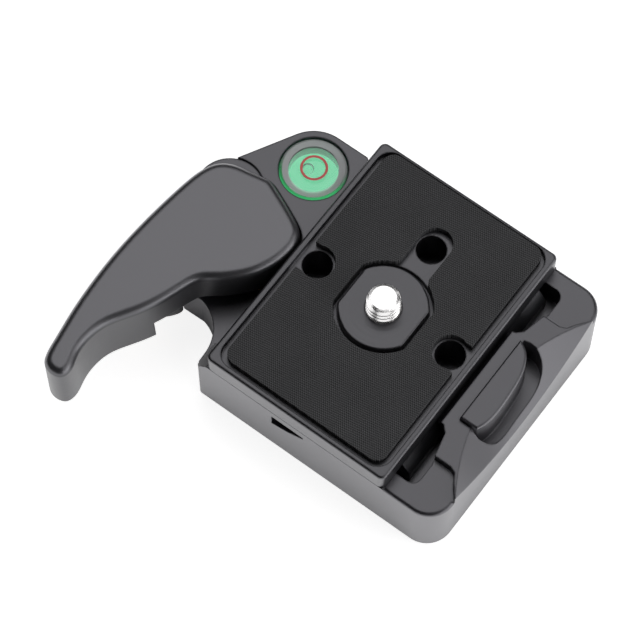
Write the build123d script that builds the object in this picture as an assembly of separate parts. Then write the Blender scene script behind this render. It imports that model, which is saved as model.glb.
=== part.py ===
from build123d import *
import math
import os

# Quick release clamp with its camera plate. Millimetres, +Z up, origin at the
# middle of the tripod thread on the flat base. +X runs across the jaws, from the
# lever to the fixed jaw, and +Y runs along the jaws.

# Body casting, heights above the base
seat_floor = 9.5
shelf_top = 14.7
jaw_top = 16.3
platform_top = 16.5
tongue_top = 17.5
boss_top = 16.0

# Body casting, plan
body_right = 30.5
body_corner = 5.0
body_small_corner = 0.8
rear_set_in = 0.3
channel_end_gap = 0.4
front_end_top = 12.0
top_round = 0.7
base_round = 0.5

# Fixed jaw
lip_gap = 0.3
lip_height = 14.8
lip_lean = 0.8
lip_half = 10.3
pit_end_gap = 1.9
pit_depth_x = 23.3
jaw_half = 16.4
scoop_height = 9.8
scoop_radius = 49.0
crescent_floor = 10.0

# Camera plate
plate_width = 38.4
plate_length = 52.7
flange_reach = 1.7
flange_half = 20.6
flange_left_end = -0.6
flange_straight = 3.0
slab_gap = 0.1
slab_thick = 4.2
plate_corner = 1.2
rim_side = 1.15
rim_front = 1.05
rim_rear = 0.65
rim_round = 0.5
pad_recess = 1.4
rim_corner = 3.0
hole_circle = 14.45
hole_radius = 2.75
plate_wall = 2.6

# Rubber pad
pad_thick = 1.5
pad_side_gap = 1.1
pad_front_gap = 0.95
pad_rear_gap = 0.2
pad_corner = 2.2
pad_hole_margin = 0.5
pad_mouth_half = 3.0
neck_left = -2.85
neck_right = 3.4
neck_end = 15.3
neck_round = 1.6

# Centre disc and camera screw
disc_radius = 8.1
disc_flat = 7.0
disc_corner = 1.2
disc_gap = 0.8
disc_groove = 1.0
disc_drop = 0.15
screw_radius = 3.175
screw_neck = 2.9
screw_proud = 3.85
screw_tip = 0.75
screw_head_radius = 7.4
screw_head_thick = 2.4
screw_head_clear = 0.1
coin_slot_width = 1.8
coin_slot_depth = 1.2
running = 0.06

# Tripod thread and its reducing bush
socket_radius = 4.80
socket_depth = 8.0
bush_radius = 4.76
bush_bore = 3.20
bush_length = 7.5
bush_set_back = 0.3
bush_slot = 1.2

# Lever and its pivot
pivot_x = -36.5
pivot_y = 3.2
boss_radius = 6.2
lever_bottom = 7.0
lever_top = 19.5
lever_wall = 2.0
lever_roof = 2.5
lever_edge = 1.5
lever_step_height = 12.0
lever_step_radius = 27.8
lever_flare = 0.3
lever_tip_flare = 0.05
boss_clearance = 0.4
roof_clearance = 0.8
body_clearance = 0.5
hub_radius = 3.2
hub_collar = 3.6
hub_play = 0.05
spring_radius = 3.95
spring_wire = 0.7
spring_turns = 8
spring_pocket = 4.5
spring_ceiling = 12.0
washer_radius = 5.2
washer_thick = 1.0
washer_top = 3.15
pivot_screw_radius = 2.0
pivot_head_radius = 3.6
pivot_head_thick = 1.6
pivot_screw_reach = 9.0
cam_x = -30.4
cam_y = -2.5
cam_gap = 0.25
cam_bottom = 9.9

# Trigger pin
trigger_x = -22.0
trigger_y = -5.4
trigger_radius = 1.95
trigger_flange = 2.6
trigger_flange_thick = 1.0
trigger_bottom = 3.4
trigger_shoulder = 6.2
trigger_plug_top = 1.0
trigger_gap = 0.05

# Safety catch under the lever
catch_x = -38.6
catch_y = -21.6
catch_bottom = 7.2
catch_thick = 2.4
catch_pin_radius = 1.0
catch_boss_radius = 2.4
catch_boss_bottom = 12.4
catch_pin_top = 15.0
catch_pin_head = 1.7
catch_pin_head_thick = 0.5

# Round level
level_x = -26.7
level_y = 15.3
level_rim = 7.6
level_pocket = 6.35
level_pocket_floor = 10.5
vial_radius = 6.2
vial_top = 16.3
chamber_radius = 4.6
chamber_bottom = 12.2
chamber_top = 15.3
plug_gap = 0.05

# Outline of the lever, counter-clockwise from the left of its tip
lever_outline = [
    (-41.7, -42.9), (-40.6, -44.1), (-38.9, -44.5), (-37.2, -43.9), (-36.6, -42.2),
    (-37.4, -39.2), (-37.7, -35.4), (-36.9, -31.8), (-35.3, -28.9), (-33.3, -25.6),
    (-31.5, -21.6), (-30.2, -17.8), (-29.0, -15.2), (-27.0, -13.5), (-24.6, -11.4),
    (-22.2, -8.6), (-20.4, -5.0), (-19.6, -1.8), (-19.7, 1.0), (-20.5, 2.8),
    (-23.2, 4.7), (-26.4, 6.2), (-29.4, 7.5), (-30.8, 7.95), (-32.2, 7.8), (-34.8, 7.3),
    (-38.0, 6.6), (-40.4, 5.1), (-41.9, 2.6), (-42.8, -1.0), (-43.5, -6.0),
    (-44.15, -13.0), (-44.4, -20.0), (-44.1, -27.5), (-43.4, -34.0), (-42.5, -39.5),
]
tip_points = 5

# Outline of the safety catch, counter-clockwise from its finger tab
catch_outline = [
    (-33.4, -20.9), (-31.9, -19.3), (-31.4, -17.5), (-32.4, -16.9), (-34.6, -18.2),
    (-37.6, -19.2), (-40.4, -20.0), (-41.0, -22.2), (-39.2, -24.0), (-36.6, -22.6),
]

# Curved edge of the tongue beside the fixed jaw, and of the crescent cut round it
tongue_curve = [(22.6, 9.8), (24.9, 8.3), (26.5, 5.0), (27.1, 1.0), (27.3, -3.3), (27.0, -6.4), (26.2, -8.4)]
crescent_curve = [(22.9, 10.4), (25.5, 10.6), (27.5, 9.6), (28.6, 7.8), (29.3, 4.0), (29.4, -1.0),
                  (29.5, -5.0), (28.9, -7.3), (27.4, -8.6), (25.6, -8.5)]

# Front notch in the body, seen from the front
notch = [(-4.9, 12.8), (2.0, 12.8), (2.0, 12.2), (-1.2, 10.6), (-4.9, 9.7)]

slab_bottom = shelf_top + slab_gap
flange_width = plate_width + 2 * flange_reach
body_left = -flange_width / 2 - 0.6
body_front = -plate_length / 2
body_rear = plate_length / 2 - rear_set_in
channel_half = flange_half + channel_end_gap
lip_inner = plate_width / 2 + lip_gap
lip_brow = lip_inner + lip_lean
pit_half = flange_half + pit_end_gap
plate_top = slab_bottom + slab_thick
pad_floor = plate_top - pad_recess
disc_top = plate_top - disc_drop
screw_top = plate_top + screw_proud
head_top = seat_floor + 0.5 + screw_head_thick
hub_bottom = washer_top
roof_bottom = lever_top - lever_roof
cam_radius = -flange_width / 2 - cam_gap - cam_x


def at_height(sketch, low, high):
    """Extrude a flat sketch between two heights."""
    return extrude(Pos(0, 0, low) * sketch, high - low)


def rod(radius, low, high, x=0.0, y=0.0):
    """A round bar between two heights."""
    return Pos(x, y, low) * Cylinder(radius, high - low, align=(Align.CENTER, Align.CENTER, Align.MIN))


def block(x_low, x_high, y_low, y_high, low, high):
    """A box given by its limits."""
    size = Box(x_high - x_low, y_high - y_low, high - low, align=(Align.MIN, Align.MIN, Align.MIN))
    return Pos(x_low, y_low, low) * size


def loop_face(points):
    """A face inside one smooth closed curve."""
    return make_face(Spline(*points, periodic=True))


def shifted(points, distance):
    """Points of a counter-clockwise outline, moved outwards by a distance."""
    moved = []
    for before, here, after in zip(points[-1:] + points[:-1], points, points[1:] + points[:1]):
        run = Vector(after[0] - before[0], after[1] - before[1])
        outward = Vector(run.Y, -run.X).normalized() * distance
        moved.append((here[0] + outward.X, here[1] + outward.Y))
    return moved


def edges_at(solid, height):
    """The edges that lie flat at one height."""
    return solid.edges().filter_by_position(Axis.Z, height - 0.01, height + 0.01)


def coil(radius, wire, low, turns, pitch, x, y):
    """A coil spring of round wire about a vertical axis."""
    path = Pos(x, y, low + wire / 2) * Helix(pitch, turns * pitch, radius)
    start = path ^ 0
    return sweep(start * Circle(wire / 2), path=path)


def prism_y(points, y_low, y_high):
    """A profile drawn in X and Z, extruded along Y."""
    face = make_face(Polyline(*[(x, y_low, z) for x, z in points], close=True))
    return extrude(face, amount=y_high - y_low, dir=(0, 1, 0))


def rounded_block(width, length, corner, low, high):
    """A block about the origin with rounded upright corners."""
    return at_height(RectangleRounded(width, length, corner), low, high)


def body_block():
    """The seat of the plate with its end lips, shelves and fixed jaw."""
    width = body_right - body_left
    length = body_rear - body_front
    outline = Pos((body_right + body_left) / 2, (body_rear + body_front) / 2) * Rectangle(width, length)
    corners = outline.vertices().group_by(Axis.X)
    left_front = corners[0].sort_by(Axis.Y)[0]
    outline = fillet(left_front, body_small_corner)
    outline = fillet(outline.vertices().group_by(Axis.X)[-1], body_corner)
    core = at_height(outline, 0, shelf_top)
    core = fillet(edges_at(core, shelf_top), top_round)
    core = fillet(edges_at(core, 0), base_round)
    lips = block(body_left + 2, plate_width / 2, body_front, body_rear, shelf_top - 1.5, shelf_top)
    core += lips
    jaw_outline = outline & (Pos(25, 0) * Rectangle(20, 2 * channel_half))
    jaw = at_height(jaw_outline, seat_floor, jaw_top)
    pocket = Polyline((15, -40), (40, -40), (40, -26), (30.6, -21.0), (28.5, -18.4), (27.6, -16.9),
                      (26.4, -jaw_half), (15, -jaw_half), close=True)
    shelf_cut = at_height(make_face(pocket), shelf_top, 30)
    jaw -= shelf_cut
    jaw -= mirror(shelf_cut, about=Plane.XZ)
    solid = core + jaw
    channel = [(-60, seat_floor), (flange_width / 2 + cam_gap, seat_floor),
               (flange_width / 2 + cam_gap, seat_floor + flange_straight + 0.15),
               (lip_inner, lip_height), (lip_brow, jaw_top), (lip_brow, 30), (-60, 30)]
    solid -= prism_y(channel, -channel_half, channel_half)
    pit = Polyline((18, lip_half), (20.9, lip_half + 0.5), (22.0, lip_half + 1.6), (pit_depth_x, 17.6),
                   (pit_depth_x, pit_half), (18, pit_half), close=True)
    pit_cut = at_height(make_face(pit), seat_floor, 30)
    pit_cut = fillet(pit_cut.edges().filter_by(Axis.Z).group_by(Axis.X)[-1], 1.7)
    solid -= pit_cut
    solid -= mirror(pit_cut, about=Plane.XZ)
    return solid


def scoop():
    """The large cylinder, leaning at 45 degrees, that hollows the outer face of the fixed jaw."""
    lean = 1 / math.sqrt(2)
    middle = (body_right + scoop_radius * lean, 0, scoop_height + scoop_radius * lean)
    return Plane(origin=middle, z_dir=(-lean, 0, lean)) * Cylinder(scoop_radius, 90)


def tongue_face(points):
    """A face between a curved edge and the straight side, parallel to Y, that closes it."""
    curve = Spline(*points)
    back = Polyline(points[-1], (points[0][0], points[-1][1]), points[0])
    return make_face(curve + back)


def platform():
    """The raised corner that carries the level, and the boss of the lever."""
    tangent = (level_x - 0.893 * level_rim, level_y + 0.451 * level_rim)
    plan = Pos(level_x, level_y) * Circle(level_rim)
    web = Polyline((pivot_x - 2.5, pivot_y + 5.7), (pivot_x, pivot_y), (-19.6, -0.3), (-19.6, 22.4),
                   (-20.2, level_y + level_rim), (level_x, level_y + level_rim),
                   tangent, close=True)
    plan += make_face(web)
    return at_height(plan, 0, platform_top)


def wing():
    """The low web under the lever, hollowed at the front for a finger."""
    path = [
        Polyline((body_left + 0.2, -25.2), (-22.35, -24.6), (-22.5, -22.2)),
        ThreePointArc((-22.5, -22.2), (-24.35, -17.8), (-29.0, -14.9)),
        Line((-29.0, -14.9), (-33.5, -15.0)),
        ThreePointArc((-33.5, -15.0), (-39.8, -8.0), (-42.2, pivot_y - 1.0)),
        Polyline((-42.2, pivot_y - 1.0), (pivot_x, pivot_y), (-19, 10), (-19, -25.2), (body_left + 0.2, -25.2)),
    ]
    return at_height(make_face(Curve() + path), 0, seat_floor)


def clamp_body():
    solid = body_block()
    solid += wing()
    corner_cut = Polyline((-30, 30), (-30, 22.6), (-20.6, 22.6), (-17.6, 26.4), (-17.6, 30), close=True)
    solid -= at_height(make_face(corner_cut), -1, 40)
    solid += platform()
    clear = at_height(loop_face(shifted(lever_outline, body_clearance)), seat_floor, 40)
    solid -= clear
    solid -= rod(boss_radius + 0.05, boss_top, 40, pivot_x, pivot_y)
    solid += rod(boss_radius, 0, boss_top, pivot_x, pivot_y)
    end_slope = [(-30, front_end_top), (body_left, front_end_top), (-19.0, shelf_top + 0.2), (-30, shelf_top + 0.2)]
    solid -= prism_y(end_slope, -40, -channel_half + 1)
    solid -= at_height(tongue_face(crescent_curve), crescent_floor, 40)
    solid -= scoop()
    tongue = at_height(tongue_face(tongue_curve), crescent_floor, tongue_top)
    tongue = fillet(edges_at(tongue, tongue_top), 0.35)
    solid += tongue
    solid -= prism_y(notch, -40, -channel_half + 1)
    solid -= rod(socket_radius, -1, socket_depth)
    solid -= rod(spring_pocket, -1, spring_ceiling, pivot_x, pivot_y)
    solid -= rod(hub_radius + running, -1, 40, pivot_x, pivot_y)
    solid -= rod(washer_radius + 0.3, -1, washer_top + 0.05, pivot_x, pivot_y)
    solid -= rod(trigger_radius + running, -1, 40, trigger_x, trigger_y)
    solid -= rod(trigger_flange + running, -1, trigger_shoulder, trigger_x, trigger_y)
    solid -= rod(level_pocket, level_pocket_floor, 40, level_x, level_y)
    return solid


def lever():
    foot_points = shifted(lever_outline, lever_tip_flare)[:tip_points]
    foot_points += shifted(lever_outline, lever_flare)[tip_points:]
    foot = Pos(0, 0, lever_bottom) * loop_face(foot_points)
    shell = loft([foot, Pos(0, 0, lever_top) * loop_face(lever_outline)])
    shell = fillet(edges_at(shell, lever_top), lever_edge)
    inner = shifted(lever_outline, -lever_wall)[tip_points:]
    shell -= at_height(loop_face(inner), 0, roof_bottom)
    shell -= rod(lever_step_radius, 0, lever_step_height, pivot_x, pivot_y)
    shell -= rod(boss_radius + boss_clearance, 0, boss_top + roof_clearance, pivot_x, pivot_y)
    lobe = rod(cam_radius, cam_bottom, roof_bottom, cam_x, cam_y)
    lobe &= at_height(loop_face(shifted(lever_outline, -0.3)), cam_bottom, roof_bottom)
    lobe -= rod(boss_radius + boss_clearance, 0, boss_top + roof_clearance, pivot_x, pivot_y)
    shell += lobe
    flank = -flange_width / 2 - cam_gap
    edge = -plate_width / 2 - cam_gap
    beside_plate = [(flank, 0), (flank, seat_floor + flange_straight + 0.1), (edge, slab_bottom + 0.1),
                    (edge, 30), (0, 30), (0, 0)]
    shell -= prism_y(beside_plate, -40, 40)
    shell += rod(hub_collar, boss_top + hub_play, roof_bottom + 1, pivot_x, pivot_y)
    shell += rod(hub_radius, hub_bottom, roof_bottom + 1, pivot_x, pivot_y)
    shell -= rod(pivot_screw_radius + 0.02, 0, pivot_screw_reach + 0.5, pivot_x, pivot_y)
    shell += rod(catch_boss_radius, catch_boss_bottom, roof_bottom + 1, catch_x, catch_y)
    shell -= rod(catch_pin_radius + 0.02, 0, catch_pin_top, catch_x, catch_y)
    return shell


def safety_catch():
    solid = at_height(loop_face(catch_outline), catch_bottom, catch_bottom + catch_thick)
    solid -= rod(catch_pin_radius + running, 0, 30, catch_x, catch_y)
    return solid


def catch_pin():
    head_low = catch_bottom - 0.1 - catch_pin_head_thick
    return (rod(catch_pin_radius, head_low, catch_pin_top - 0.1, catch_x, catch_y)
            + rod(catch_pin_head, head_low, catch_bottom - 0.1, catch_x, catch_y))


def lever_screw():
    head_top_z = washer_top - washer_thick
    solid = rod(pivot_head_radius, head_top_z - pivot_head_thick, head_top_z, pivot_x, pivot_y)
    solid = chamfer(edges_at(solid, head_top_z - pivot_head_thick), 0.5)
    solid += rod(pivot_screw_radius, head_top_z - 0.5, pivot_screw_reach, pivot_x, pivot_y)
    bottom = head_top_z - pivot_head_thick
    for turn in (0, 90):
        cross = Pos(pivot_x, pivot_y, bottom) * Rot(0, 0, turn) * Box(3.6, 0.9, 1.8)
        solid -= cross
    return solid


def lever_washer():
    return (rod(washer_radius, washer_top - washer_thick, washer_top, pivot_x, pivot_y)
            - rod(pivot_screw_radius + 0.1, 0, 30, pivot_x, pivot_y))


def trigger_pin():
    top = seat_floor - trigger_gap
    solid = rod(trigger_radius, trigger_bottom, top, trigger_x, trigger_y)
    solid = chamfer(edges_at(solid, top), 0.35)
    solid += rod(trigger_flange, trigger_bottom, trigger_bottom + trigger_flange_thick, trigger_x, trigger_y)
    return solid


def disc_plan(radius, flat):
    """A circle with two flats parallel to Y, and rounded corners."""
    plan = Circle(radius) & Rectangle(2 * flat, 4 * radius)
    return fillet(plan.vertices(), disc_corner)


def disc_shape(radius, flat, low, high):
    return at_height(disc_plan(radius, flat), low, high)


def camera_plate():
    slab = rounded_block(plate_width, plate_length, plate_corner, slab_bottom, plate_top)
    slab = fillet(edges_at(slab, plate_top), rim_round)
    straight_top = seat_floor + flange_straight
    half = flange_width / 2
    narrow = plate_width / 2
    right = [(0, seat_floor), (half, seat_floor), (half, straight_top), (narrow, slab_bottom), (0, slab_bottom)]
    left = [(-x, z) for x, z in right]
    plain = [(0, seat_floor), (-narrow, seat_floor), (-narrow, slab_bottom), (0, slab_bottom)]
    solid = slab + prism_y(right, -flange_half, flange_half)
    solid += prism_y(left, -flange_half, flange_left_end)
    solid += prism_y(plain, -flange_half, flange_half)
    pocket = block(-narrow + plate_wall, narrow - plate_wall, -flange_half + plate_wall,
                   flange_half - plate_wall, 0, slab_bottom)
    pocket -= rod(disc_radius + 2, 0, 30)
    pocket -= block(-1.2, 1.2, -30, 30, 0, 30)
    pocket -= block(-30, 30, -1.2, 1.2, 0, 30)
    for x, y in ((-hole_circle, 0), (hole_circle, 0), (0, hole_circle)):
        pocket -= rod(hole_radius + 1.6, 0, 30, x, y)
    solid -= pocket
    recess_length = plate_length - rim_front - rim_rear
    recess = rounded_block(plate_width - 2 * rim_side, recess_length, rim_corner, pad_floor, 30)
    solid -= Pos(0, (rim_front - rim_rear) / 2) * recess
    solid -= disc_shape(disc_radius + disc_gap, disc_flat + disc_gap, pad_floor - disc_groove, 30)
    disc = disc_shape(disc_radius, disc_flat, slab_bottom, disc_top)
    solid += fillet(edges_at(disc, disc_top), 0.3)
    for x, y in ((-hole_circle, 0), (hole_circle, 0), (0, hole_circle)):
        solid -= rod(hole_radius, 0, 30, x, y)
    solid -= rod(screw_head_radius + 0.4, 0, head_top + screw_head_clear)
    solid -= rod(screw_radius + running, 0, 30)
    return solid


def plate_pad():
    width = plate_width - 2 * rim_side - 2 * pad_side_gap
    front = -plate_length / 2 + rim_front + pad_front_gap
    rear = plate_length / 2 - rim_rear - pad_rear_gap
    plan = Pos(0, (front + rear) / 2) * RectangleRounded(width, rear - front, pad_corner)
    opening = disc_plan(disc_radius + disc_gap, disc_flat + disc_gap)
    neck_middle = (neck_left + neck_right) / 2
    opening += Pos(neck_middle, neck_end / 2) * Rectangle(neck_right - neck_left, neck_end)
    opening += Pos(neck_middle, neck_end) * Circle((neck_right - neck_left) / 2)
    inner = opening.vertices().filter_by_position(Axis.Y, 7.0, 9.0)
    throat = [v for v in inner if abs(v.X - neck_left) < 0.1 or abs(v.X - neck_right) < 0.1]
    plan -= fillet(throat, neck_round)
    for x in (-hole_circle, hole_circle):
        plan -= Pos(x, 0) * Circle(hole_radius + pad_hole_margin)
        plan -= Pos(x + math.copysign(5, x), 0) * Rectangle(10, 2 * pad_mouth_half)
    return at_height(plan, pad_floor, pad_floor + pad_thick)


def camera_screw():
    shank = rod(screw_radius, disc_top - 0.1, screw_top)
    shank = chamfer(edges_at(shank, screw_top), screw_tip)
    solid = shank + rod(screw_neck, head_top - 0.5, disc_top)
    head_low = head_top - screw_head_thick
    head = rod(screw_head_radius, head_low, head_top)
    head = chamfer(edges_at(head, head_low), 0.4)
    solid += head
    solid -= block(-30, 30, -coin_slot_width / 2, coin_slot_width / 2, head_low - 1, head_low + coin_slot_depth)
    return solid


def thread_bushing():
    low = bush_set_back
    solid = rod(bush_radius, low, low + bush_length) - rod(bush_bore, -1, 30)
    solid -= block(-30, 30, -bush_slot / 2, bush_slot / 2, low - 1, low + 1.2)
    return solid


def level_vial():
    solid = rod(vial_radius, level_pocket_floor, vial_top, level_x, level_y)
    solid = fillet(edges_at(solid, vial_top), 0.6)
    solid -= rod(chamber_radius, 0, chamber_top, level_x, level_y)
    return solid


def save(name, solid):
    export_step(solid, os.path.join("parts", name + ".step"))
    print(name, round(solid.volume, 1), [round(v, 2) for v in solid.bounding_box().size])


def main():
    os.makedirs("parts", exist_ok=True)
    save("clamp_body", clamp_body())
    save("lever", lever())
    save("lever_screw", lever_screw())
    save("lever_washer", lever_washer())
    spring_low = washer_top + 0.1
    save("lever_spring", coil(spring_radius, spring_wire, spring_low, spring_turns, 1.0, pivot_x, pivot_y))
    save("trigger_pin", trigger_pin())
    save("trigger_spring", coil(1.7, 0.5, trigger_plug_top, 3, 0.6, trigger_x, trigger_y))
    save("trigger_plug", rod(trigger_flange + running - 0.02, 0.2, trigger_plug_top, trigger_x, trigger_y))
    save("safety_catch", safety_catch())
    save("catch_pin", catch_pin())
    save("catch_spring", coil(1.6, 0.5, catch_bottom + catch_thick + 0.15, 3, 0.62, catch_x, catch_y))
    save("camera_plate", camera_plate())
    save("plate_pad", plate_pad())
    save("camera_screw", camera_screw())
    save("thread_bushing", thread_bushing())
    save("level_vial", level_vial())
    save("level_liquid", rod(chamber_radius - plug_gap, chamber_bottom, chamber_top - plug_gap, level_x, level_y))
    save("level_base", rod(chamber_radius - plug_gap, level_pocket_floor, chamber_bottom, level_x, level_y))


main()
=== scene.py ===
# %% [markdown]
# # A quick release clamp with its camera plate
# The clamp is a dark coated casting with a hinged lever, a round green level and a
# camera plate that carries a rubber pad and a bright screw. The measured solids come
# in as a fixed frame, and this lesson gives them their finishes, and builds the small
# pieces that the solids leave plain. All sizes are in metres and +Z is up.

# %% Load the measured frame
import bpy
import math
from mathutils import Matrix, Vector


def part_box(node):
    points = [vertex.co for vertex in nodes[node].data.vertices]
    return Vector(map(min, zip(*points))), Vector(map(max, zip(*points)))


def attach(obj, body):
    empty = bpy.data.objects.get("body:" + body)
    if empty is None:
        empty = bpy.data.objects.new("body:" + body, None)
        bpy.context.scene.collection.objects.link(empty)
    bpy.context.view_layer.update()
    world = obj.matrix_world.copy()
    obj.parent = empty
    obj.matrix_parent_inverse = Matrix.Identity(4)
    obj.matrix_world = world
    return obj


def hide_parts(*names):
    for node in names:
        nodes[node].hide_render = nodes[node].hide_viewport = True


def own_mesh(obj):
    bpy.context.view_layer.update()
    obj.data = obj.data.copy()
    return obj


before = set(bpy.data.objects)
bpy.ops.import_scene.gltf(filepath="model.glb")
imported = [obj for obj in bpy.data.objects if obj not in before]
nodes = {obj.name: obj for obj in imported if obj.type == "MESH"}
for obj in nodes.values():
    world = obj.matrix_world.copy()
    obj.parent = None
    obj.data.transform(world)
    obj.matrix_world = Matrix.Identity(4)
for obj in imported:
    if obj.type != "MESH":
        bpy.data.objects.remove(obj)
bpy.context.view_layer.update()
MM = 0.001
bpy.ops.object.select_all(action="DESELECT")

# %% [markdown]
# ## The camera
# The photograph looks down on the clamp from its front right corner, from about half
# a metre away through a long lens, so the lines of the plate hardly converge. The
# camera is placed by its angles round the middle of the plate, and turned towards it.
# Its lens was fitted in pixels of the photograph, and Blender wants it in millimetres
# of a sensor 36 mm wide.

# %% Place the camera
view_azimuth = math.radians(36.65)
view_elevation = math.radians(66.53)
view_distance = 532.8 * MM
view_target = Vector((-9.72, -5.56, 10.0)) * MM
sensor_width = 36.0
lens_in_pixels = 2990
picture_width = 640
back = Vector((
    math.sin(view_azimuth) * math.cos(view_elevation),
    -math.cos(view_azimuth) * math.cos(view_elevation),
    math.sin(view_elevation)))
bpy.ops.object.camera_add(location=view_target + back * view_distance)
camera = bpy.context.object
camera.name = "photo_camera"
camera.rotation_euler = (-back).to_track_quat("-Z", "Y").to_euler()
camera.data.sensor_width = sensor_width
camera.data.lens = lens_in_pixels / picture_width * sensor_width
camera.data.clip_start = 0.01
camera.data.clip_end = 20.0
bpy.context.scene.camera = camera
print("lens", round(camera.data.lens, 2), "mm")

# %% [markdown]
# ## Nodes for the finishes
# A finish is a small graph of shader nodes. Four effects are node groups with named
# sockets: a fine grain, a wear along the edges, the rings left by turning, and a twill
# of small dots. The shader itself stays in each material, because a coat, a chrome and
# a rubber differ there. A graph is easier to read when each line adds one step to it,
# so the first helpers add a node, join it, and do sums with numbers or sockets.

# %% Helpers for node graphs
def add_node(tree, kind, **settings):
    node = tree.nodes.new(kind)
    for key, value in settings.items():
        setattr(node, key, value)
    return node


def join(tree, output, target):
    tree.links.new(output, target)


def new_group(name, numbers, outputs):
    """An empty node group. numbers gives each input its default, outputs lists what it gives."""
    group = bpy.data.node_groups.new(name, "ShaderNodeTree")
    kind = "NodeSocketFloat"
    for label, default in numbers.items():
        socket = group.interface.new_socket(name=label, in_out="INPUT", socket_type=kind)
        socket.default_value = default
    for label in outputs:
        group.interface.new_socket(name=label, in_out="OUTPUT", socket_type=kind)
    entry = add_node(group, "NodeGroupInput")
    leave = add_node(group, "NodeGroupOutput")
    return group, entry, leave


def math_node(tree, operation, first, second=0.0):
    node = add_node(tree, "ShaderNodeMath", operation=operation)
    for socket, value in zip(node.inputs, (first, second)):
        if isinstance(value, (int, float)):
            socket.default_value = value
        else:
            join(tree, value, socket)
    return node.outputs[0]


print("helpers for node graphs are ready")

# %% [markdown]
# ### A grain for cast and moulded faces
# Under its coat a cast face is a little rough, and its tone drifts from place to
# place. A painted picture could show that, but noise on the object's own coordinates
# needs no picture and has no seams. A fine noise gives the height of the grain, and
# with a large and cloudy one it makes the tone uneven. Every finish uses this group,
# with its own scale.

# %% A grain for cast and moulded faces
cloud_scale = 110.0
noise_middle = 0.5
grain_group, entry, leave = new_group(
    "fine_grain", {"Scale": 2500.0, "Mottle": 0.06}, ("Shade", "Height"))
place = add_node(grain_group, "ShaderNodeTexCoord")
fine = add_node(grain_group, "ShaderNodeTexNoise")
fine.inputs["Detail"].default_value = 2.0
fine.inputs["Roughness"].default_value = 0.6
join(grain_group, place.outputs["Object"], fine.inputs["Vector"])
join(grain_group, entry.outputs["Scale"], fine.inputs["Scale"])
cloud = add_node(grain_group, "ShaderNodeTexNoise")
cloud.inputs["Scale"].default_value = cloud_scale
cloud.inputs["Detail"].default_value = 3.0
join(grain_group, place.outputs["Object"], cloud.inputs["Vector"])
centred = math_node(grain_group, "SUBTRACT", cloud.outputs["Fac"], noise_middle)
mottle = math_node(grain_group, "MULTIPLY", centred, entry.outputs["Mottle"])
fleck = math_node(grain_group, "SUBTRACT", fine.outputs["Fac"], noise_middle)
fleck = math_node(grain_group, "MULTIPLY", fleck, entry.outputs["Mottle"])
both = math_node(grain_group, "ADD", mottle, fleck)
join(grain_group, math_node(grain_group, "ADD", both, 1.0), leave.inputs["Shade"])
join(grain_group, fine.outputs["Fac"], leave.inputs["Height"])
print(grain_group.name, "has", len(grain_group.nodes), "nodes")

# %% [markdown]
# ### Wear along the edges
# Where hands rub the clamp, the coat gets thin and light along the edges. Each edge
# could be drawn by hand, but a Bevel node finds them all: it gives the normal that a
# rounded edge would have, and where this differs from the face's own normal there is
# an edge. A noise breaks the line up.

# %% Wear along the edges
edge_gain = 6.0
wear_group, entry, leave = new_group("edge_wear", {"Width": 0.0004, "Patch": 900.0}, ("Mask",))
rounded = add_node(wear_group, "ShaderNodeBevel", samples=6)
join(wear_group, entry.outputs["Width"], rounded.inputs["Radius"])
surface = add_node(wear_group, "ShaderNodeNewGeometry")
match = add_node(wear_group, "ShaderNodeVectorMath", operation="DOT_PRODUCT")
join(wear_group, rounded.outputs["Normal"], match.inputs[0])
join(wear_group, surface.outputs["Normal"], match.inputs[1])
edge = math_node(wear_group, "SUBTRACT", 1.0, match.outputs["Value"])
edge = math_node(wear_group, "MULTIPLY", edge, edge_gain)
place = add_node(wear_group, "ShaderNodeTexCoord")
patch = add_node(wear_group, "ShaderNodeTexNoise")
join(wear_group, place.outputs["Object"], patch.inputs["Vector"])
join(wear_group, entry.outputs["Patch"], patch.inputs["Scale"])
broken = math_node(wear_group, "MULTIPLY", patch.outputs["Fac"], edge)
clamped = add_node(wear_group, "ShaderNodeClamp")
join(wear_group, broken, clamped.inputs["Value"])
join(wear_group, clamped.outputs["Result"], leave.inputs["Mask"])
print(wear_group.name, "has", len(wear_group.nodes), "nodes")

# %% [markdown]
# ### Rings left by turning
# The disc in the middle of the plate is turned on a lathe, and the tool leaves rings
# round the axis. They are far too shallow to model, so a sine of the distance from the
# axis gives their height, and a noise makes some of them deeper. Inside their reach
# the face is also a little darker. The distance is the length of a point's place once
# its height is taken out.

# %% Rings about the middle of the plate
def without_height(tree, vector):
    """The vector without its height."""
    node = add_node(tree, "ShaderNodeVectorMath", operation="MULTIPLY")
    node.inputs[1].default_value = (1.0, 1.0, 0.0)
    join(tree, vector, node.inputs[0])
    return node.outputs["Vector"]


def length_of(tree, vector):
    node = add_node(tree, "ShaderNodeVectorMath", operation="LENGTH")
    join(tree, vector, node.inputs[0])
    return node.outputs["Value"]


ring_unevenness = 0.9
darker_inside = 0.12
rings_group, entry, leave = new_group(
    "turning_marks", {"Pitch": 0.0011, "Reach": 0.0081}, ("Shade", "Height"))
place = add_node(rings_group, "ShaderNodeTexCoord")
from_axis = length_of(rings_group, without_height(rings_group, place.outputs["Object"]))
turns = math_node(rings_group, "DIVIDE", from_axis, entry.outputs["Pitch"])
uneven = add_node(rings_group, "ShaderNodeTexNoise", noise_dimensions="1D")
uneven.inputs["Scale"].default_value = ring_unevenness
join(rings_group, turns, uneven.inputs["W"])
wave = math_node(rings_group, "SINE", math_node(rings_group, "MULTIPLY", turns, 2 * math.pi))
wave = math_node(rings_group, "MULTIPLY", wave, uneven.outputs["Fac"])
inside = math_node(rings_group, "LESS_THAN", from_axis, entry.outputs["Reach"])
wave = math_node(rings_group, "MULTIPLY", wave, inside)
join(rings_group, wave, leave.inputs["Height"])
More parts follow.
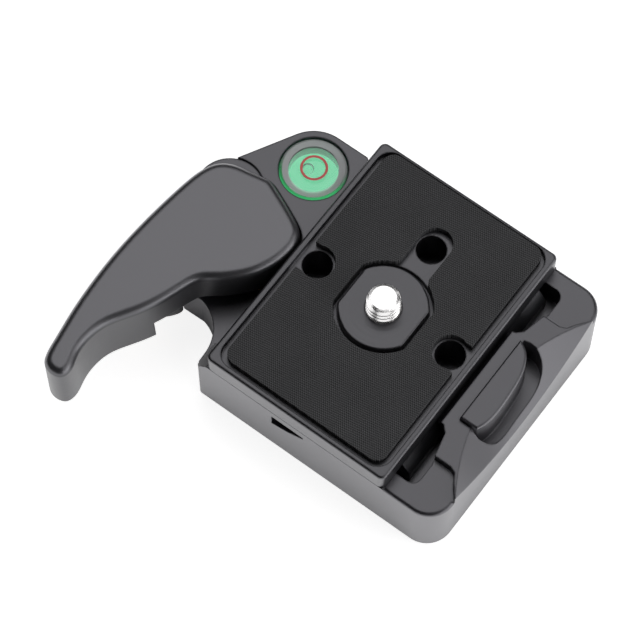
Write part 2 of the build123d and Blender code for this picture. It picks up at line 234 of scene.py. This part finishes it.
darker = math_node(rings_group, "MULTIPLY", inside, darker_inside)
join(rings_group, math_node(rings_group, "SUBTRACT", 1.0, darker), leave.inputs["Shade"])
print(rings_group.name, "has", len(rings_group.nodes), "nodes")

# %% [markdown]
# ### A twill of small dots
# The rubber pad is moulded with slanting rows of dots under half a millimetre apart.
# Thousands of modelled dots would make a heavy mesh, so two sines give the height and
# the shade: one makes the rows, and one makes the dots, half a step over in every next
# row.

# %% A twill of small dots
def split_axes(tree, vector):
    """The X, Y and Z of a vector."""
    node = add_node(tree, "ShaderNodeSeparateXYZ")
    join(tree, vector, node.inputs["Vector"])
    return node.outputs


twill_turn = -0.19
row_shift = 0.5
dot_share = 0.7
weave_height = 0.5
twill_group, entry, leave = new_group(
    "fine_twill", {"Pitch": 0.0004, "Contrast": 0.8}, ("Shade", "Height"))
place = add_node(twill_group, "ShaderNodeTexCoord")
turned = add_node(twill_group, "ShaderNodeMapping")
turned.inputs["Rotation"].default_value = (0.0, 0.0, twill_turn)
join(twill_group, place.outputs["Object"], turned.inputs["Vector"])
axes = split_axes(twill_group, turned.outputs["Vector"])
across = math_node(twill_group, "DIVIDE", axes["Y"], entry.outputs["Pitch"])
along = math_node(twill_group, "DIVIDE", axes["X"], entry.outputs["Pitch"])
slant = math_node(twill_group, "ADD", along, math_node(twill_group, "MULTIPLY", across, row_shift))
row = math_node(twill_group, "SINE", math_node(twill_group, "MULTIPLY", across, 2 * math.pi))
dot = math_node(twill_group, "SINE", math_node(twill_group, "MULTIPLY", slant, 2 * math.pi))
weave = math_node(twill_group, "ADD", row, math_node(twill_group, "MULTIPLY", dot, dot_share))
weave = math_node(twill_group, "MULTIPLY", weave, weave_height)
join(twill_group, weave, leave.inputs["Height"])
shade = math_node(twill_group, "MULTIPLY", weave, entry.outputs["Contrast"])
join(twill_group, math_node(twill_group, "ADD", shade, 1.0), leave.inputs["Shade"])
print(twill_group.name, "has", len(twill_group.nodes), "nodes")

# %% [markdown]
# ## One recipe for all the finishes
# Coat, metal, rubber and plastic have the same make-up here: a colour that the grain
# shades, perhaps a second colour along the edges, and a relief in up to three layers.
# The lowest layer, where a finish has it, makes the sharp edges of the solids look
# rounded. The grain lies on it, and a pattern such as the rings or the twill lies on
# top. So one function builds them all.

# %% Parts of a finish
def shader_of(material):
    return material.node_tree.nodes["Principled BSDF"]


def place_group(tree, group, **numbers):
    """Puts a node group in a material, with its own values."""
    node = add_node(tree, "ShaderNodeGroup", node_tree=group)
    for label, number in numbers.items():
        node.inputs[label].default_value = number
    return node


def blend_edges(tree, colour, edge_colour, edge_width, edge_share):
    """Mixes a second colour in along the edges."""
    wear = place_group(tree, wear_group, Width=edge_width)
    share = math_node(tree, "MULTIPLY", wear.outputs["Mask"], edge_share)
    blend = add_node(tree, "ShaderNodeMix", data_type="RGBA")
    join(tree, share, blend.inputs["Factor"])
    join(tree, colour, blend.inputs["A"])
    blend.inputs["B"].default_value = (*edge_colour, 1.0)
    return blend.outputs["Result"]


def relief(tree, height, depth, under=None):
    """Lays a relief over the face, or over the normal under it."""
    bump = add_node(tree, "ShaderNodeBump")
    bump.inputs["Distance"].default_value = depth
    bump.inputs["Strength"].default_value = 1.0
    join(tree, height, bump.inputs["Height"])
    if under:
        join(tree, under, bump.inputs["Normal"])
    return bump.outputs["Normal"]


print("parts of a finish are ready")

# %% A coated, moulded or bare surface
def grainy_material(name, colour, roughness, metallic=0.0, scale=2500.0, mottle=0.1,
                    depth=0.00002, edge_colour=None, edge_width=0.0004, edge_share=0.6,
                    round_radius=0.0, pattern=None, pattern_depth=0.00003):
    """depth and pattern_depth are the heights of the reliefs, scale and mottle go to the grain."""
    material = bpy.data.materials.new(name)
    material.use_nodes = True
    tree = material.node_tree
    shader = shader_of(material)
    shader.inputs["Metallic"].default_value = metallic
    shader.inputs["Roughness"].default_value = roughness
    grain = place_group(tree, grain_group, Scale=scale, Mottle=mottle)
    tint = add_node(tree, "ShaderNodeVectorMath", operation="SCALE")
    tint.inputs[0].default_value = colour
    tone = grain.outputs["Shade"]
    if pattern:
        figure = place_group(tree, pattern)
        tone = math_node(tree, "MULTIPLY", tone, figure.outputs["Shade"])
    join(tree, tone, tint.inputs["Scale"])
    paint = tint.outputs["Vector"]
    if edge_colour:
        paint = blend_edges(tree, paint, edge_colour, edge_width, edge_share)
    join(tree, paint, shader.inputs["Base Color"])
    normal = None
    if round_radius:
        soften = add_node(tree, "ShaderNodeBevel", samples=6)
        soften.inputs["Radius"].default_value = round_radius
        normal = soften.outputs["Normal"]
    normal = relief(tree, grain.outputs["Height"], depth, normal)
    if pattern:
        normal = relief(tree, figure.outputs["Height"], pattern_depth, normal)
    join(tree, normal, shader.inputs["Normal"])
    return material


print("the recipe is ready")

# %% [markdown]
# ## The coat of the clamp
# The body, the lever and the plate are one alloy with the same satin, nearly black coat. Its own
# colour is about 2 percent, and what shows is mostly its soft mirror of the room, so it gets a
# high gloss: the flat tops mirror the lamp behind them, and the sides mirror the pale table. The
# gloss is set by the index of refraction, which is higher than a real paint has. The coat is a
# little lighter along the edges. The lever's upright walls get a lower gloss, a painted shade for
# the dark body and shaded floor that they mirror. The Z of a face's normal tells walls and tops
# apart: it is near 0 on a wall and near 1 on a flat top.

# %% Mix the coat
def ramp(tree, value, low, high, at_low, at_high):
    """Goes softly from at_low to at_high while the value goes from low to high."""
    node = add_node(tree, "ShaderNodeMapRange", interpolation_type="SMOOTHSTEP")
    ends = {"From Min": low, "From Max": high, "To Min": at_low, "To Max": at_high}
    for label, number in ends.items():
        node.inputs[label].default_value = number
    join(tree, value, node.inputs["Value"])
    return node.outputs["Result"]


steep_below = 0.15
level_above = 0.70


def coated(name, tone, gloss, side_gloss, **extra):
    """The satin coat. gloss is for faces that look up or down, side_gloss for upright ones."""
    material = grainy_material(
        name, tone, roughness=0.36, scale=2200.0, mottle=0.10, depth=0.000006,
        edge_colour=(0.06, 0.06, 0.065), edge_width=0.0004, edge_share=0.25,
        round_radius=0.0004, **extra)
    tree = material.node_tree
    facing = add_node(tree, "ShaderNodeNewGeometry")
    upward = math_node(tree, "ABSOLUTE", split_axes(tree, facing.outputs["Normal"])["Z"])
    bend = ramp(tree, upward, steep_below, level_above, side_gloss, gloss)
    join(tree, bend, shader_of(material).inputs["IOR"])
    shader_of(material).inputs["Specular Tint"].default_value = (0.95, 0.94, 1.0, 1.0)
    return material


# The lever's lower side_gloss is painted shade on its upright walls, for the dark body and shaded
# floor that they mirror.
lever_coat = coated("lever_coat", (0.030, 0.030, 0.033), gloss=2.19, side_gloss=1.50)
body_coat = coated("body_coat", (0.022, 0.021, 0.025), gloss=1.99, side_gloss=1.99)
plate_coat = coated(
    "plate_coat", (0.016, 0.016, 0.018), gloss=1.93, side_gloss=1.93,
    pattern=rings_group, pattern_depth=0.000012)
print("coats:", lever_coat.name, body_coat.name, plate_coat.name)

# %% [markdown]
# ## Bare metal, plastic and rubber
# The camera screw is bright chrome, the springs and the bush are plain steel, and the
# trigger pin is brass. Metals need only their colour, their roughness and a shallow
# grain. The catch is a moulded plastic. The pad is a matt rubber with the twill on it,
# rubbed a little lighter along its rim.

# %% Make the metals, the plastic and the rubber
chrome = grainy_material(
    "bright_screw", (0.86, 0.85, 0.85), roughness=0.27, metallic=1.0, scale=1500.0,
    mottle=0.05, depth=0.000003)
spring_steel = grainy_material(
    "spring_steel", (0.55, 0.55, 0.56), roughness=0.32, metallic=1.0, scale=3000.0,
    mottle=0.12, depth=0.000006)
brass = grainy_material(
    "turned_brass", (0.72, 0.52, 0.24), roughness=0.30, metallic=1.0, scale=2600.0,
    mottle=0.12, depth=0.000006)
catch_finish = grainy_material(
    "catch_plastic", (0.035, 0.035, 0.036), roughness=0.45, scale=2400.0, mottle=0.12,
    depth=0.00001)
pad_rubber = grainy_material(
    "pad_rubber", (0.078, 0.078, 0.082), roughness=0.60, scale=3000.0, mottle=0.3,
    depth=0.00002, edge_colour=(0.13, 0.13, 0.135), edge_width=0.0003, edge_share=0.8,
    round_radius=0.0002, pattern=twill_group, pattern_depth=0.00006)
print("metals, plastic and rubber made")

# %% [markdown]
# ## The liquid of the level
# The vial is a clear moulded cup with a green liquid in it, brighter than anything round it. The
# backing under the liquid has a painted glow, which stands for the light that comes in through the
# vial and the liquid. The liquid touches its wall, so its sides don't bend the light: only its
# flat faces have the index of water.

# %% Make the backing and the liquid
def set_shader(material, settings):
    """Sets inputs of a material's shader by their names."""
    for label, value in settings.items():
        shader_of(material).inputs[label].default_value = value


water_bend = 1.33
side_loss = 0.329
upright_below = 0.5
backing = grainy_material(
    "pale_backing", (0.14, 0.50, 0.32), roughness=0.4, scale=900.0, mottle=0.06,
    depth=0.000004)
# The backing's emission is painted light, for light that comes in through the vial and the liquid.
set_shader(backing, {"Emission Color": (0.24, 0.72, 0.50, 1.0), "Emission Strength": 0.50})
liquid = grainy_material(
    "green_liquid", (0.80, 1.0, 0.90), roughness=0.03, scale=600.0, mottle=0.03, depth=0.0)
set_shader(liquid, {"Transmission Weight": 1.0})
tree = liquid.node_tree
facing = add_node(tree, "ShaderNodeNewGeometry")
upward = math_node(tree, "ABSOLUTE", split_axes(tree, facing.outputs["True Normal"])["Z"])
upright = math_node(tree, "LESS_THAN", upward, upright_below)
loss = math_node(tree, "MULTIPLY", upright, side_loss)
join(tree, math_node(tree, "SUBTRACT", water_bend, loss), shader_of(liquid).inputs["IOR"])
print("backing and liquid made")

# %% [markdown]
# ## The clear vial
# The moulded wall round the liquid is half matt, so it is grey from above. Its front rim has a
# painted green glow, for light that has come through the liquid and gathers there. Both depend on
# the distance from the level's axis, so one material can do it, and the vial stays one piece. The
# painted glow fades out towards the back.

# %% Make the clear vial
def along_direction(tree, vector, direction):
    """How far the vector goes along a direction."""
    node = add_node(tree, "ShaderNodeVectorMath", operation="DOT_PRODUCT")
    node.inputs[1].default_value = direction
    join(tree, vector, node.inputs[0])
    return node.outputs["Value"]


level_low, level_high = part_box("level_vial")
level_x = (level_low[0] + level_high[0]) / 2
level_y = (level_low[1] + level_high[1]) / 2
matt_from = 4.56 * MM
rim_from = 5.62 * MM
rim_full = 5.74 * MM
rim_front = (0.30, -0.954, 0.0)
front_from = -1.5 * MM
front_full = 3.5 * MM
clear_share = 0.96
matt_loss = 0.54
painted_rim_glow = 0.24
vial_clear = grainy_material(
    "clear_vial", (0.92, 0.95, 0.96), roughness=0.03, scale=600.0, mottle=0.01, depth=0.0)
set_shader(vial_clear, {"IOR": 1.49, "Emission Color": (0.06, 0.80, 0.24, 1.0)})
tree = vial_clear.node_tree
place = add_node(tree, "ShaderNodeTexCoord")
centred = add_node(tree, "ShaderNodeVectorMath", operation="SUBTRACT")
centred.inputs[1].default_value = (level_x, level_y, 0.0)
join(tree, place.outputs["Object"], centred.inputs[0])
flat = without_height(tree, centred.outputs["Vector"])
radius = length_of(tree, flat)
matt = math_node(tree, "GREATER_THAN", radius, matt_from)
front = along_direction(tree, flat, rim_front)
in_front = ramp(tree, front, front_from, front_full, at_low=0.0, at_high=1.0)
at_rim = ramp(tree, radius, rim_from, rim_full, at_low=0.0, at_high=1.0)
rim = math_node(tree, "MULTIPLY", in_front, at_rim)
matt = math_node(tree, "MULTIPLY", matt, math_node(tree, "SUBTRACT", 1.0, rim))
clear = math_node(tree, "SUBTRACT", clear_share, math_node(tree, "MULTIPLY", matt, matt_loss))
join(tree, clear, shader_of(vial_clear).inputs["Transmission Weight"])
# Painted light: the front part of the rim glows green, fading out towards the back.
glow = math_node(tree, "MULTIPLY", rim, painted_rim_glow)
join(tree, glow, shader_of(vial_clear).inputs["Emission Strength"])
print("clear vial made, axis at", round(level_x, 5), round(level_y, 5))

# %% [markdown]
# ## The printed ring and the bubble
# The ring is a red print, with a faint painted glow for the light that the bright liquid throws on
# it from below. The bubble is air in the liquid. Seen from the liquid's side, air bends light the
# other way, and an index of refraction below one says so.

# %% Make the print and the air
ring_red = grainy_material(
    "red_print", (0.85, 0.13, 0.13), roughness=0.5, scale=3000.0, mottle=0.2, depth=0.000002)
# The print's emission is a painted glow, for light from the liquid below it.
set_shader(ring_red, {"Emission Color": (1.0, 0.16, 0.16, 1.0), "Emission Strength": 0.10})
bubble_air = grainy_material(
    "bubble_air", (0.92, 1.0, 0.97), roughness=0.02, scale=600.0, mottle=0.01, depth=0.0)
set_shader(bubble_air, {"Transmission Weight": 1.0, "IOR": 0.75})
print("print and air made")

# %% [markdown]
# ## Dress the solids
# Every measured solid is one real piece of one stuff, so each gets one finish, by its
# name in the frame.

# %% Put the finishes on the solids
finish_of = {
    "clamp_body": body_coat, "lever": lever_coat, "camera_plate": plate_coat,
    "lever_screw": spring_steel, "lever_washer": spring_steel, "lever_spring": spring_steel,
    "trigger_spring": spring_steel, "trigger_plug": spring_steel, "catch_spring": spring_steel,
    "trigger_pin": brass, "catch_pin": brass, "safety_catch": catch_finish,
    "plate_pad": pad_rubber, "camera_screw": chrome, "thread_bushing": spring_steel,
    "level_vial": vial_clear, "level_liquid": liquid, "level_base": backing,
}
for name, finish in finish_of.items():
    mesh = nodes[name].data
    mesh.materials.clear()
    mesh.materials.append(finish)
print("finishes:", len(set(finish_of.values())))

# %% [markdown]
# ## The camera screw
# The screw that holds the camera is a quarter inch screw with twenty threads to the
# inch, so one turn climbs 1.27 mm. Its ridges are rolled, with round shoulders, and
# the tip has a wide chamfer. One ridge is drawn as a short line beside the axis and
# swept round and up by a Screw modifier. The line follows a cosine, with a narrow flat
# at the crest and in the root. It starts one and a half turns too low, so that the
# sweep has a whole ridge wherever it is trimmed. Blender's tools work on all that is
# selected, so a helper first picks the one piece that is meant.

# %% Draw one ridge
pitch = 1.27 * MM
thread_low = 18.7 * MM
screw_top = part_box("camera_screw")[1][2]
middle_radius = 2.80 * MM
half_depth = 0.29 * MM
fullness = 1.35
ridge_steps = 12
ridge_start = thread_low - 1.5 * pitch
ridge = []
for step in range(ridge_steps + 1):
    swing = max(-1.0, min(1.0, fullness * math.cos(2 * math.pi * step / ridge_steps)))
    height = ridge_start + pitch * step / ridge_steps
    ridge.append((middle_radius + half_depth * swing, 0.0, height))
line = bpy.data.meshes.new("thread_line")
line.from_pydata(ridge, [(i, i + 1) for i in range(ridge_steps)], [])
thread = bpy.data.objects.new("thread", line)
bpy.context.scene.collection.objects.link(thread)
print("ridge:", len(ridge), "points")

# %% Sweep the thread
def pick(piece):
    bpy.ops.object.select_all(action="DESELECT")
    piece.select_set(True)
    bpy.context.view_layer.objects.active = piece


pick(thread)
bpy.ops.object.modifier_add(type="SCREW")
sweep = thread.modifiers[-1]
sweep.angle = 2 * math.pi
sweep.screw_offset = pitch
sweep.iterations = 6
sweep.steps = sweep.render_steps = 56
sweep.use_merge_vertices = True
bpy.ops.object.modifier_apply(modifier=sweep.name)
bpy.ops.object.mode_set(mode="EDIT")
bpy.ops.mesh.select_all(action="SELECT")
bpy.ops.mesh.remove_doubles(threshold=0.000001)
bpy.ops.mesh.normals_make_consistent(inside=False)
bpy.ops.object.mode_set(mode="OBJECT")
print("thread:", len(thread.data.polygons), "faces")

# %% [markdown]
# ### The tip of the screw
# The sweep climbs past the screw's end. Its corners are pressed down to the end plane
# and drawn in to a cone, which gives the chamfer with the ridges fading out on it. The
# faces that then lie in the end plane are one flat crowd, so they are deleted, and one
# face closes the tip. Below, a plane trims the thread where the neck begins. Faces and
# corners are selected by their place, which is surer than by their number.

# %% Draw the tip in and close both ends
def choose(piece, kind, test):
    """Selects the faces or corners that pass a test, and leaves the piece in edit mode."""
    pick(piece)
    bpy.ops.object.mode_set(mode="EDIT")
    bpy.ops.mesh.select_mode(type=kind)
    bpy.ops.mesh.select_all(action="DESELECT")
    bpy.ops.object.mode_set(mode="OBJECT")
    for item in (piece.data.polygons if kind == "FACE" else piece.data.vertices):
        item.select = test(piece.data, item)
    bpy.ops.object.mode_set(mode="EDIT")


def trim(piece, height, keep_above):
    """Cuts a piece with a level plane and closes the cut."""
    pick(piece)
    bpy.ops.object.mode_set(mode="EDIT")
    bpy.ops.mesh.select_all(action="SELECT")
    bpy.ops.mesh.bisect(plane_co=(0, 0, height), plane_no=(0, 0, 1), use_fill=True,
                        clear_inner=keep_above, clear_outer=not keep_above)
    bpy.ops.object.mode_set(mode="OBJECT")


tip_radius = 2.27 * MM
tip_slope = 1.05
for corner in thread.data.vertices:
    corner.co.z = min(corner.co.z, screw_top)
    reach = math.hypot(corner.co.x, corner.co.y)
    allowed = tip_radius + tip_slope * (screw_top - corner.co.z)
    corner.co.x *= min(1.0, allowed / reach)
    corner.co.y *= min(1.0, allowed / reach)
just_under = screw_top - 0.001 * MM
choose(thread, "FACE",
       lambda mesh, face: min(mesh.vertices[i].co.z for i in face.vertices) > just_under)
bpy.ops.mesh.delete(type="FACE")
bpy.ops.object.mode_set(mode="OBJECT")
trim(thread, thread_low, keep_above=True)
choose(thread, "VERT", lambda mesh, corner: corner.co.z > just_under)
bpy.ops.mesh.edge_face_add()
bpy.ops.object.mode_set(mode="OBJECT")
print("thread with its ends:", len(thread.data.polygons), "faces")

# %% [markdown]
# ### The head and the neck
# Under the plate the screw has a head with a slot, and a plain neck. The measured
# screw has them already, so a copy of it is cut off just above the start of the thread
# and joined to the new thread. The joined piece takes the place of the plain solid.

# %% Join the thread to the head and the neck
def finish_piece(piece, name, finish, body):
    """Names a piece, dresses it, and lets it ride on its body."""
    piece.name = name
    piece.data.name = name
    piece.data.materials.clear()
    piece.data.materials.append(finish)
    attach(piece, body)
    print(name, "faces:", len(piece.data.polygons))


def copy_of(node, name):
    """A welded copy of a solid, that can be worked on."""
    piece = bpy.data.objects.new(name, nodes[node].data.copy())
    bpy.context.scene.collection.objects.link(piece)
    pick(piece)
    bpy.ops.object.mode_set(mode="EDIT")
    bpy.ops.mesh.select_all(action="SELECT")
    bpy.ops.mesh.remove_doubles(threshold=0.0000005)
    bpy.ops.object.mode_set(mode="OBJECT")
    bpy.ops.mesh.customdata_custom_splitnormals_clear()
    return piece


overlap = 0.02 * MM
core = copy_of("camera_screw", "core")
trim(core, thread_low + overlap, keep_above=False)
pick(thread)
bpy.ops.mesh.customdata_custom_splitnormals_clear()
core.select_set(True)
bpy.ops.object.join()
bpy.ops.object.shade_smooth_by_angle(angle=math.radians(40))
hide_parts("camera_screw")
finish_piece(thread, "camera_screw_thread", chrome, "screw")

# %% [markdown]
# ## The trigger's spring
# The spring under the trigger pin is pressed together when the pin goes down, and a stiff coil
# would cut into the pin. A welded copy of the measured coil takes its place, with smooth shading
# and a mesh of its own.

# %% Copy the spring
coil = copy_of("trigger_spring", "coil")
bpy.ops.object.shade_smooth_by_angle(angle=math.radians(50))
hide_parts("trigger_spring")
finish_piece(coil, "trigger_spring_coil", spring_steel, "clamp")
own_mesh(coil)

# %% [markdown]
# ## The ring of the level
# The target ring is printed in red on the vial, not quite in its middle. A print is
# thin, but it needs some height to be a solid piece, so it is a torus that is pressed
# nearly flat and lies on the vial's face.

# %% Print the ring
def press_flat(piece, share):
    """Presses a piece flat about its own middle, then moves its place into its mesh."""
    pick(piece)
    piece.scale = (1.0, 1.0, share)
    bpy.ops.object.transform_apply(location=True, rotation=True, scale=True)


ring_radius = 2.30 * MM
ring_half_width = 0.23 * MM
ring_x = level_x - 0.05 * MM
ring_y = level_y + 0.25 * MM
ring_z = level_high[2] + 0.012 * MM
bpy.ops.mesh.primitive_torus_add(
    major_segments=96, minor_segments=12, major_radius=ring_radius,
    minor_radius=ring_half_width, location=(ring_x, ring_y, ring_z))
ring = bpy.context.object
press_flat(ring, share=0.06)
bpy.ops.object.shade_smooth()
finish_piece(ring, "level_ring", ring_red, "clamp")

# %% [markdown]
# ## The bubble of the level
# The bubble lies a little off the middle, as it does on a clamp that isn't quite
# level. It floats up against the roof of the chamber, which presses it flat. So it is a
# sphere that is squeezed in height, just below the top of the liquid.

# %% Float the bubble
liquid_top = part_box("level_liquid")[1][2]
bubble_radius = 1.15 * MM
bubble_x = level_x - 1.17 * MM
bubble_y = level_y - 0.10 * MM
bubble_z = liquid_top - 0.76 * MM
bpy.ops.mesh.primitive_uv_sphere_add(
    segments=48, ring_count=24, radius=bubble_radius,
    location=(bubble_x, bubble_y, bubble_z))
bubble = bpy.context.object
press_flat(bubble, share=0.60)
bpy.ops.object.shade_smooth()
finish_piece(bubble, "level_bubble", bubble_air, "clamp")

# %% [markdown]
# ## The floor
# The photograph is taken on a white ground with soft light from all round, so that
# there is hardly a shadow. A floor that only received light would be grey, so it also
# gives some. The coat of the clamp mirrors this floor. A real floor is darker close
# under the object, and that shows in the mirror more than to the eye, so an Ambient
# Occlusion node finds the crowded places, and only mirrored rays see them darker and
# the open floor brighter.

# %% Lay the floor
floor_glow = 0.86
floor_level = -0.0002
crowd_reach = 22 * MM
crowded = 0.36
open_air = 0.64
mirror_loss = -0.80
mirror_gain = 0.42
bpy.ops.mesh.primitive_plane_add(size=6.0, location=(0, 0, floor_level))
floor = bpy.context.object
floor.name = "studio_floor"
paper = bpy.data.materials.new("white_paper")
paper.use_nodes = True
set_shader(paper, {"Base Color": (0.80, 0.80, 0.80, 1.0), "Roughness": 0.9,
                   "Emission Color": (1, 1, 1, 1)})
tree = paper.node_tree
rays = add_node(tree, "ShaderNodeLightPath")
crowd = add_node(tree, "ShaderNodeAmbientOcclusion", samples=6)
crowd.inputs["Distance"].default_value = crowd_reach
shaded = ramp(tree, crowd.outputs["AO"], crowded, open_air, mirror_loss, mirror_gain)
mirrored = math_node(tree, "MULTIPLY", rays.outputs["Is Glossy Ray"], shaded)
strength = math_node(tree, "ADD", mirrored, floor_glow)
join(tree, strength, shader_of(paper).inputs["Emission Strength"])
floor.data.materials.append(paper)
print("floor laid, glow", floor_glow)

# %% [markdown]
# ## The walls of the room
# What the coat mirrors beyond the floor is the room. It is an even grey with a pale
# wall on the far side, seen from the camera, and another on the right. Both fade out
# towards the ceiling, which stays dim, so that the flat tops mirror the lamps instead.
# The world's own nodes can paint that, and no walls have to be built.

# %% Make the walls of the room
far_wall = (-0.597, 0.802, 0.0)
right_wall = (0.95, 0.3, 0.0)
dim = 0.22
world = bpy.data.worlds.new("studio_air")
bpy.context.scene.world = world
world.use_nodes = True
tree = world.node_tree
look = add_node(tree, "ShaderNodeTexCoord").outputs["Generated"]
height = split_axes(tree, look)["Z"]
beyond = along_direction(tree, look, far_wall)
wall = ramp(tree, beyond, low=-0.35, high=0.55, at_low=dim, at_high=0.95)
beside = along_direction(tree, look, right_wall)
side = ramp(tree, beside, low=0.35, high=0.95, at_low=0.0, at_high=0.85)
wall = math_node(tree, "MAXIMUM", wall, side)
fade = ramp(tree, height, low=0.10, high=0.60, at_low=1.0, at_high=dim)
background = tree.nodes["Background"]
join(tree, math_node(tree, "MULTIPLY", wall, fade), background.inputs["Strength"])
print("room nodes:", len(tree.nodes))

# %% [markdown]
# ## The lamps
# Three soft boxes give the tops and the sides their gloss: one high behind the clamp,
# one high on the right, and a low wide one on the right, which brightens the hollows on
# that side. Two more stand for a photographer's reflecting cards and light only the
# camera screw, since bright metal shows nothing but what it mirrors. Light linking
# keeps them off the rest.

# %% Hang the lamps
def soft_lamp(name, direction, distance, width, radiance, low=1.0):
    """A soft box that looks at the origin. It is square where low is 1, and lower below that."""
    bpy.ops.object.light_add(type="AREA", location=Vector(direction).normalized() * distance)
    lamp = bpy.context.object
    lamp.name = name
    lamp.data.shape = "RECTANGLE"
    lamp.data.size = width
    lamp.data.size_y = width * low
    lamp.data.energy = radiance * math.pi * width * width * low
    lamp.rotation_euler = (-lamp.location).to_track_quat("-Z", "Y").to_euler()
    print(name, round(lamp.data.energy, 2), "W")
    return lamp


soft_lamp("rear_soft_box", (-0.238, 0.32, 0.917), distance=1.2, width=0.8, radiance=1.55)
lit = bpy.data.collections.new("lit_by_cards")
lit.objects.link(thread)
for card in (
        soft_lamp("screw_card", (0.32, -0.56, 0.80), distance=1.0, width=1.00, radiance=1.1),
        soft_lamp("left_card", (-0.86, -0.40, 0.40), distance=1.0, width=1.10, radiance=1.2)):
    card.light_linking.receiver_collection = lit
soft_lamp("right_soft_box", (0.66, 0.35, 0.66), distance=1.2, width=0.95, radiance=1.15)
soft_lamp("right_low_box", (0.97, 0.03, 0.25), distance=1.2, width=1.25, radiance=2.1, low=0.48)
bpy.context.scene.view_settings.view_transform = "Standard"
